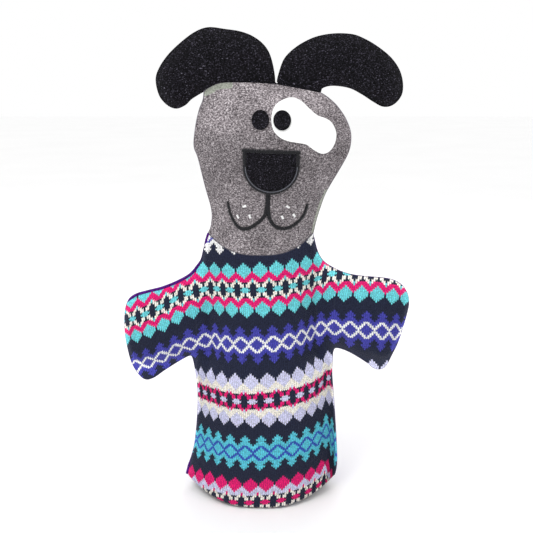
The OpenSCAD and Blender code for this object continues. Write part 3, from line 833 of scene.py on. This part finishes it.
# Where the back panel's edge rolls forward past the front's: the left arm's top, the neck and the hem
def rolled_edge(path):
    x, z = path[:, 0], path[:, 1]
    arm_top = smooth_step(136, 142, z) * (x < -38) * (1 - smooth_step(162, 168, z))
    neck = smooth_step(176, 182, z)
    hem = (1 - smooth_step(16, 22, z)) * (x < 0)
    return np.clip(arm_top + 0.8 * neck * (x < 0) + hem, 0, 1)


def seam_tube(name, paths):
    """The sewn edge: thin, and fuller where the back panel rolls forward."""
    made = []
    for i, path in enumerate(paths):
        rolled = rolled_edge(path)
        places = np.stack([path[:, 0], 0.3 - 0.9 * rolled, path[:, 1]], 1)
        made.append(tube(f"{name}_{i}", places, 0.3 + 0.75 * rolled))
    return join(name, made)


def add_body_seams():
    thread = felt_material("purple_seam_edge", PURPLE_MARL)
    for arm, path, is_arm in (("left", left_body, is_left_arm), ("right", right_body, is_right_arm)):
        def in_arm(p):
            return is_arm(p[:, 0], p[:, 1])

        low = split_path(path, lambda p: ~in_arm(p) & (p[:, 1] < NECK_START))
        finish_piece(seam_tube(f"{arm}_side_seam_line", low), thread, "body",
                     "purple_knit", f"{arm}_side_seam")
        finish_piece(seam_tube(f"{arm}_arm_seam_line", split_path(path, in_arm)), thread, along_arm(arm),
                     "purple_knit", f"{arm}_arm_seam")
        high = split_path(path, lambda p: p[:, 1] > NECK_START - 3)
        finish_piece(seam_tube(f"{arm}_neck_side_seam_line", high), thread, ALONG_NECK, "purple_knit")


def add_neck_seam():
    """Small stitches in the groove where the head's cloth joins the body's."""
    thread = thread_material("neck_thread", "#37343c", "#5b5761")
    x = NECK_MIDDLE_X + NECK_HALF_WIDTH * np.sin(np.linspace(-1, 1, 61) * math.pi / 2) * 0.995
    z = neck_line(x)
    made = []
    for side in (-1, 1):
        y = side * (depth_field.at(x, z) - 0.25)
        made.append(tube("neck_cord", np.stack([x, y, z], 1), 0.45))
    finish_piece(join("neck_seam_line", made), thread, ALONG_NECK, "dark_thread", "neck_seam")


def add_hem_stitching():
    """A running stitch that holds the top of the turned-up hem."""
    thread = thread_material("hem_thread", "#2a2233", "#4a3d5c")
    made = []
    for side in (-1, 1):
        x = HEM_MIDDLE_X + HEM_HALF_WIDTH * np.sin(np.linspace(-1, 1, 160) * math.pi / 2) * 0.97
        z = hem_line(x) + TURN_UP - 3
        points = surface(x, z, np.full_like(x, 2.9), np.zeros_like(x), side)
        for k in range(0, len(x) - 4, 5):
            made.append(tube("hem_stitch", points[k:k + 4], 0.35, sides=6))
    finish_piece(join("hem_stitch_line", made), thread, "body", "dark_thread", "hem_stitching")


# ---- Head ----

# The back panel's edge, rolled forward: along the top's left part, and down the right cheek
STRIP_WIDTH = 4.2
SIDE_STRIP_WIDTH = 1.5


def resample(path, count):
    step = np.concatenate([[0], np.cumsum(np.linalg.norm(np.diff(path, axis=0), axis=1))])
    places = np.linspace(0, step[-1], count)
    return np.stack([np.interp(places, step, path[:, k]) for k in (0, 1)], 1)


def head_grid():
    """Places over the head: straight blends between its four edges."""
    across, up = 104, 112
    x = np.linspace(LEFT_NECK[-1][0], RIGHT_NECK[-1][0], 60)
    bottom = resample(np.stack([x, neck_line(x)], 1), across)
    top = resample(head_top_edge, across)
    left, right = resample(head_left, up), resample(head_right, up)
    s = np.linspace(0, 1, across)[None, :, None]
    t = np.linspace(0, 1, up)[:, None, None]
    place = ((1 - t) * bottom[None] + t * top[None] + (1 - s) * left[:, None] + s * right[:, None]
             - (1 - s) * (1 - t) * bottom[0] - s * (1 - t) * bottom[-1]
             - (1 - s) * t * top[0] - s * t * top[-1])
    return place[..., 0], place[..., 1]


def head_point(x, z, lift=0.0):
    """A point on the head's face, lift millimetres proud of it."""
    return np.stack([x, -depth_field.at(x, z) - lift, z], -1)


def add_head():
    # The head's grey felt gets painted light and shade by height
    grey = felt_material("grey_felt_marl", GREY_MARL, uneven=HEAD_PAINTED_LIGHT)
    grey_back = felt_material("grey_green_felt_marl", BACK_MARL)
    x, z = head_grid()
    middle_x, middle_z = x[:-1, :-1], z[:-1, :-1]
    gap, _ = nearest_on(head_top_edge, np.stack([middle_x.ravel(), middle_z.ravel()], 1), closed=False)
    strip = (gap.reshape(middle_x.shape) < STRIP_WIDTH) & (middle_x < -23)
    gap, _ = nearest_on(head_right, np.stack([middle_x.ravel(), middle_z.ravel()], 1), closed=False)
    strip |= (gap.reshape(middle_x.shape) < SIDE_STRIP_WIDTH) & (middle_x > 0) & (middle_z < 216)
    uv = np.stack([x, z], -1)
    fuzz = 0.06 * rng.standard_normal(x.shape)
    front_points = head_point(x, z) - fuzz[..., None] * (0, 1, 0)
    back_points = head_point(x, z) * (1, -1, 1) + fuzz[..., None] * (0, 1, 0)
    front = grid_object("head_front_felt", front_points, ~strip, uv=uv)
    back = grid_object("head_back_felt", back_points, np.ones(strip.shape, bool), uv=uv, flip=True)
    finish_piece(front, grey, ALONG_NECK, "grey_felt", "head_front")
    finish_piece(back, grey_back, ALONG_NECK, "grey_green_felt", "head_back")
    rolled = grid_object("head_back_felt_edge", front_points, strip, uv=uv)
    finish_piece(rolled, grey_back, ALONG_NECK, "grey_green_felt")
    outline = np.concatenate([head_left, head_top_edge[1:-1], head_right[::-1]])
    line = tube("head_seam_line", np.insert(outline, 1, 0, axis=1), 0.45)
    finish_piece(line, thread_material("head_thread", "#55505a", "#7d7880"), ALONG_NECK,
                 "grey_felt", "head_seam")


# ---- Felt face and its stitching ----

PATCH = [(3.1, 264.3), (4.9, 271.6), (9.4, 275.8), (16.5, 278), (22.8, 275.7), (28, 270.9), (33.3, 266.5),
         (38.5, 264.6), (43, 261.6), (46.1, 255), (45.1, 248), (41.5, 243), (36.5, 241.6), (31, 244.2),
         (26, 247.8), (20, 249), (14, 250.1), (8.7, 252.4), (4.4, 257.2)]
PATCH_MIDDLE = (21, 260)
FELT_THICK = 1.2
LEFT_EYE, RIGHT_EYE = (-4.0, 263.6), (10.2, 263.4)
EYE_WIDE, EYE_TALL = 5.8, 6.4
NOSE_TOP_LEFT, NOSE_TOP_RIGHT = (-14.4, 244.2), (20.6, 242.8)
NOSE_BOTTOM = 216.6
# Where the nose's sides begin to bend, and the middle that its felt is laid from
NOSE_SHOULDER = 233.5
NOSE_MIDDLE = ((NOSE_TOP_LEFT[0] + NOSE_TOP_RIGHT[0]) / 2, 233)
# How far a face piece lies off the head
LAY_GAP = 0.1
# How far the line of stitching along the nose's top runs past its corners
NOSE_TOP_OVERHANG = 1.4
SATIN_WIDTH = 2.2
WHISKER_REACH = 1.1
MOUTH_FORK = (0.5, 205.5)
MOUTH_LEFT = [(0.2, 206.5), (-1.2, 201), (-4.6, 197.2), (-10.2, 193.2), (-15.9, 191.9), (-20.1, 194.3),
              (-23.6, 200.3), (-25.2, 205.6), (-25.7, 210)]
MOUTH_RIGHT = [(0.9, 206.5), (1.9, 199.5), (4.6, 194.8), (8.3, 192.5), (13.5, 192.1), (19.4, 194.7),
               (24.6, 199.7), (26.5, 204.6), (27.4, 207.8)]
WHISKERS = [(-14.5, 207.3, 20), (-19.1, 200, -60), (-11, 200.4, -70), (14.2, 206.8, -30), (10.6, 199.7, -60),
            (18.4, 200.7, -60)]


def felt_shape(name, outline, middle, lift, thick=FELT_THICK):
    """A cut piece of felt laid on the head, with a soft upper rim."""
    outline = np.asarray(outline, float)
    middle = np.asarray(middle, float)
    count = len(outline)
    shares = [0.16, 0.32, 0.48, 0.62, 0.75, 0.86, 0.95, 0.985, 1.0, 1.0]
    heights = [1, 1, 1, 1, 1, 1, 1, 0.93, 0.7, -0.2]
    points = [head_point(middle[0], middle[1], lift + thick)]
    for share, height in zip(shares, heights):
        ring = middle + (outline - middle) * share
        points += list(head_point(ring[:, 0], ring[:, 1], lift + thick * height))
    faces = [(0, 1 + k, 1 + (k + 1) % count) for k in range(count)]
    for r in range(len(shares) - 1):
        a, b = 1 + r * count, 1 + (r + 1) * count
        faces += [(a + k, b + k, b + (k + 1) % count, a + (k + 1) % count) for k in range(count)]
    return mesh_object(name, np.array(points) * MM, [f[::-1] for f in faces])


def ellipse(middle, wide, tall, count=48):
    turn = np.arange(count) * 2 * math.pi / count
    return np.stack([middle[0] + wide * np.cos(turn), middle[1] + tall * np.sin(turn)], 1)


def satin_line(path, widths, lift, height=0.8, pitch=0.42):
    """Thread laid side by side across a line, each stitch an arch from edge to edge."""
    step = np.concatenate([[0], np.cumsum(np.linalg.norm(np.diff(path, axis=0), axis=1))])
    places = np.arange(0, step[-1], pitch)
    middle = np.stack([np.interp(places, step, path[:, k]) for k in (0, 1)], 1)
    heading = np.gradient(middle, axis=0)
    heading /= np.linalg.norm(heading, axis=1)[:, None]
    out = np.stack([-heading[:, 1], heading[:, 0]], 1)
    widths = np.interp(places / step[-1], np.linspace(0, 1, len(widths)), widths)
    made = []
    for k in range(len(places)):
        half = widths[k] / 2 * (1 + 0.08 * rng.standard_normal())
        lean = heading[k] * 0.18 * rng.standard_normal()
        share = np.linspace(-1, 1, 6)
        across = middle[k] + share[:, None] * (out[k] * half + lean)
        rise = lift + height * np.sqrt(np.maximum(1 - share ** 2, 0)) - 0.15
        points = [head_point(p[0], p[1], r) for p, r in zip(across, rise)]
        made.append(tube("satin_stitch", points, 0.27, sides=5))
    return made


def nose_outline(grow):
    """The nose's rounded U, from its left top corner round to its right one."""
    left, right = NOSE_TOP_LEFT[0] - grow, NOSE_TOP_RIGHT[0] + grow
    middle, half = (left + right) / 2, (right - left) / 2
    drop = NOSE_SHOULDER - NOSE_BOTTOM + grow
    turn = np.linspace(0, math.pi, 25)
    bend = np.stack([middle - half * np.cos(turn), NOSE_SHOULDER - drop * np.sin(turn)], 1)
    return np.concatenate([[(left, NOSE_TOP_LEFT[1])], bend, [(right, NOSE_TOP_RIGHT[1])]])


def add_face():
    black = felt_material("black_face_felt", BLACK_MARL, grain=1300)
    white = felt_material("white_felt_marl", WHITE_MARL, grain=1500, height=0.0001)
    dark = thread_material("dark_satin_thread", "#09090c", "#1c1c22")
    pale = thread_material("white_satin_thread", "#f2f2f2", "#ffffff")
    patch = felt_shape("white_patch_felt", smooth_path(PATCH, per=4, closed=True), PATCH_MIDDLE, LAY_GAP)
    finish_piece(patch, white, "head", "white_felt", "eye_patch")
    for name, at, lift in (("left", LEFT_EYE, LAY_GAP), ("right", RIGHT_EYE, LAY_GAP + FELT_THICK)):
        eye = felt_shape(f"{name}_eye_felt", ellipse(at, EYE_WIDE, EYE_TALL), at, lift)
        finish_piece(eye, black, "head", "black_felt", f"{name}_eye")
    felt = felt_shape("nose_felt", nose_outline(0.3), NOSE_MIDDLE, LAY_GAP)
    finish_piece(felt, black, "head", "black_felt", "nose")
    top_left = (NOSE_TOP_LEFT[0] - NOSE_TOP_OVERHANG, NOSE_TOP_LEFT[1])
    top_right = (NOSE_TOP_RIGHT[0] + NOSE_TOP_OVERHANG, NOSE_TOP_RIGHT[1])
    top = np.linspace(top_left, top_right, 8)
    border = satin_line(nose_outline(0), [SATIN_WIDTH], FELT_THICK)
    border += satin_line(top, [SATIN_WIDTH], FELT_THICK)
    finish_piece(join("nose_satin_border", border), dark, "head", "dark_thread", "nose_stitching")
    # A grey cord along the inside of the nose's satin border: painted highlight, standing in for light on the
    # satin thread
    inner = nose_outline(-0.5)[1:-1]
    line = tube("nose_satin_highlight_cord", head_point(inner[:, 0], inner[:, 1], FELT_THICK + 0.75), 0.3)
    finish_piece(line, thread_material("grey_painted_highlight_thread", "#3f4149", "#686a73"), "head", "dark_thread")
    upright = np.linspace((1.2, NOSE_BOTTOM - 0.8), MOUTH_FORK, 6)
    mouth = satin_line(upright, [3.3, 3.1], LAY_GAP)
    mouth += satin_line(smooth_path(MOUTH_LEFT), [2.4, 2.2, 1.5], LAY_GAP)
    mouth += satin_line(smooth_path(MOUTH_RIGHT), [2.4, 2.2, 2.0], LAY_GAP)
    finish_piece(join("mouth_satin_line", mouth), dark, "head", "dark_thread", "mouth_stitching")
    dots = []
    for x, z, lean in WHISKERS:
        along = np.array([math.cos(math.radians(lean)), math.sin(math.radians(lean))])
        line = np.array([(x, z) - along * WHISKER_REACH, (x, z) + along * WHISKER_REACH])
        dots += satin_line(line, [1.2], LAY_GAP, height=0.7)
    finish_piece(join("whisker_stitch_threads", dots), pale, "head", "white_thread", "whisker_stitches")


# ---- Ears ----

LEFT_EAR = [(4, 286.2), (-22, 286.6), (-25, 287.6), (-32.2, 286.4), (-41.8, 281.6), (-49.6, 277), (-54, 273),
            (-59.9, 270.7), (-65.7, 272.9), (-70.8, 279), (-72.9, 289), (-70.6, 296.4), (-65, 304.4),
            (-57.2, 311.9), (-47.2, 319.2), (-38, 322.4), (-26.6, 321.2), (-17.8, 319.9), (-10.2, 317.3),
            (-3.2, 312.6), (1.5, 306.3), (4.3, 297), (5.4, 288.2)]
RIGHT_EAR = [(7.2, 287.6), (8.3, 293.1), (11.5, 301.8), (16.5, 307.5), (24, 312.7), (33.4, 316.7),
             (44.7, 318.5), (55.4, 318.1), (62.3, 316), (71.3, 311.2), (80.9, 304), (87, 296.2),
             (89.7, 288.2), (89.7, 280.7), (86.8, 275.5), (82.4, 272.4), (77.4, 272), (72.2, 274.4),
             (63.1, 280.1), (54.8, 284.1), (43.9, 285.6), (37, 284), (34, 280.4), (20, 282.6), (8.5, 285)]
EAR_DEPTH = 7.0
EAR_FOOT_DEPTH = 1.5
# How far in from the seam an ear reaches its full depth, and how round its rim is
EAR_RIM_REACH = 15
EAR_ROUNDNESS = 2.2
# The middles of the feet, left and right, that are caught in the head's seam
EAR_FOOT_X = (-9, 21)
WADDING_GAP = 1.6
WADDING_MARGIN = 3


def ear_depth(outline, inside):
    def value(x, z):
        edge = np.maximum(inside.at(x, z), 0)
        crown = EAR_DEPTH * (1 - (1 - np.clip(edge / EAR_RIM_REACH, 0, 1)) ** EAR_ROUNDNESS)
        base = np.clip((z - EAR_AXIS_Z + 2) / 14, 0, 1)
        base_middle = EAR_FOOT_X[0] if x.mean() < 0 else EAR_FOOT_X[1]
        in_base = 1 - smooth_step(15, 30, np.abs(x - base_middle))
        held = smooth_step(0, 1, base) * in_base + (1 - in_base)
        return crown * held + EAR_FOOT_DEPTH * (1 - held) * np.clip(edge / 1.5, 0, 1)
    return value


def add_ear(name, keys):
    """A stuffed ear: two felt layers sewn round their edge, with wadding between them."""
    black = felt_material(f"{name}_ear_felt_marl", BLACK_MARL)
    wadding = felt_material(f"{name}_wadding_fluff", WHITE_MARL, grain=400)
    outline = smooth_path(keys, closed=True)
    low, high = np.floor(outline.min(0) - 3), np.ceil(outline.max(0) + 3)
    inside = inner_distance(outline, low, high)
    depth = Field(low, high, ear_depth(outline, inside))
    depth.soften(1)
    x, z = np.meshgrid(np.arange(low[0], high[0], 1.0), np.arange(low[1], high[1], 1.0))
    keep, x, z = clip_to(outline, inside, x, z)
    rim = inside.at(x, z) <= 0.05
    uv = np.stack([x, z], -1)
    puff = np.where(rim, 0, np.maximum(depth.at(x, z), 0.3))
    puff = puff + 0.05 * rng.standard_normal(x.shape) * ~rim
    body = f"{name}_ear"
    for side, face in ((-1, "front"), (1, "back")):
        points = np.stack([x, side * puff, z], -1)
        piece = grid_object(f"{name}_ear_{face}_felt", points, keep, uv=uv, flip=side > 0)
        finish_piece(piece, black, body, "black_felt", f"{name}_ear_{face}")
    line = tube(f"{name}_ear_seam_line", np.insert(outline, 1, 0, axis=1), 0.4)
    finish_piece(line, black, body, "black_felt", f"{name}_ear_seam")
    deep = inside.at(x, z) > WADDING_MARGIN
    core = deep[:-1, :-1] & deep[1:, :-1] & deep[:-1, 1:] & deep[1:, 1:]
    thick = np.maximum(puff - WADDING_GAP, 0)
    layers = [grid_object("core", np.stack([x, side * thick, z], -1), core, flip=side > 0)
              for side in (-1, 1)]
    filling = join(f"{name}_ear_wadding", layers)
    finish_piece(filling, wadding, body, "wadding", f"{name}_ear_filling")


add_camera()
add_studio()
add_knit()
add_body_seams()
add_neck_seam()
add_hem_stitching()
add_head()
add_face()
add_ear("left", LEFT_EAR)
add_ear("right", RIGHT_EAR)
